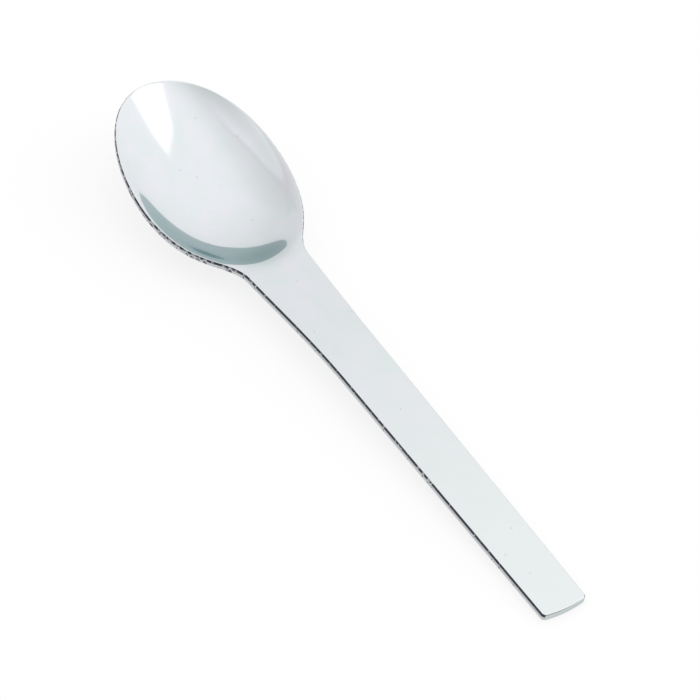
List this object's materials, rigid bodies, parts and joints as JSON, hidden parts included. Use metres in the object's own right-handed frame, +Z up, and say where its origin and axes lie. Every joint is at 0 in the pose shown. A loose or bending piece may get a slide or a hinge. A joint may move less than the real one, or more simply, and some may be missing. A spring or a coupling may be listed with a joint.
{
  "type": "teaspoon",
  "caption": "Flat-handled steel teaspoon: a shallow oval bowl runs through a flared neck into a straight, slightly tapered strap handle with a crowned end.",
  "frame": {"origin": "centre of the spoon's footprint, on the table it lies on", "axes": "+X from the bowl towards the handle's end, +Y across the bowl, +Z up out of the hollow"},
  "size_m": [0.1396, 0.032, 0.0132],
  "materials": {
    "polished_steel": "mirror-polished stainless steel with tumbled sheared edges"
  },
  "bodies": {
    "root": {"bowl": "polished_steel", "neck": "polished_steel", "handle": "polished_steel"}
  },
  "joints": []
}
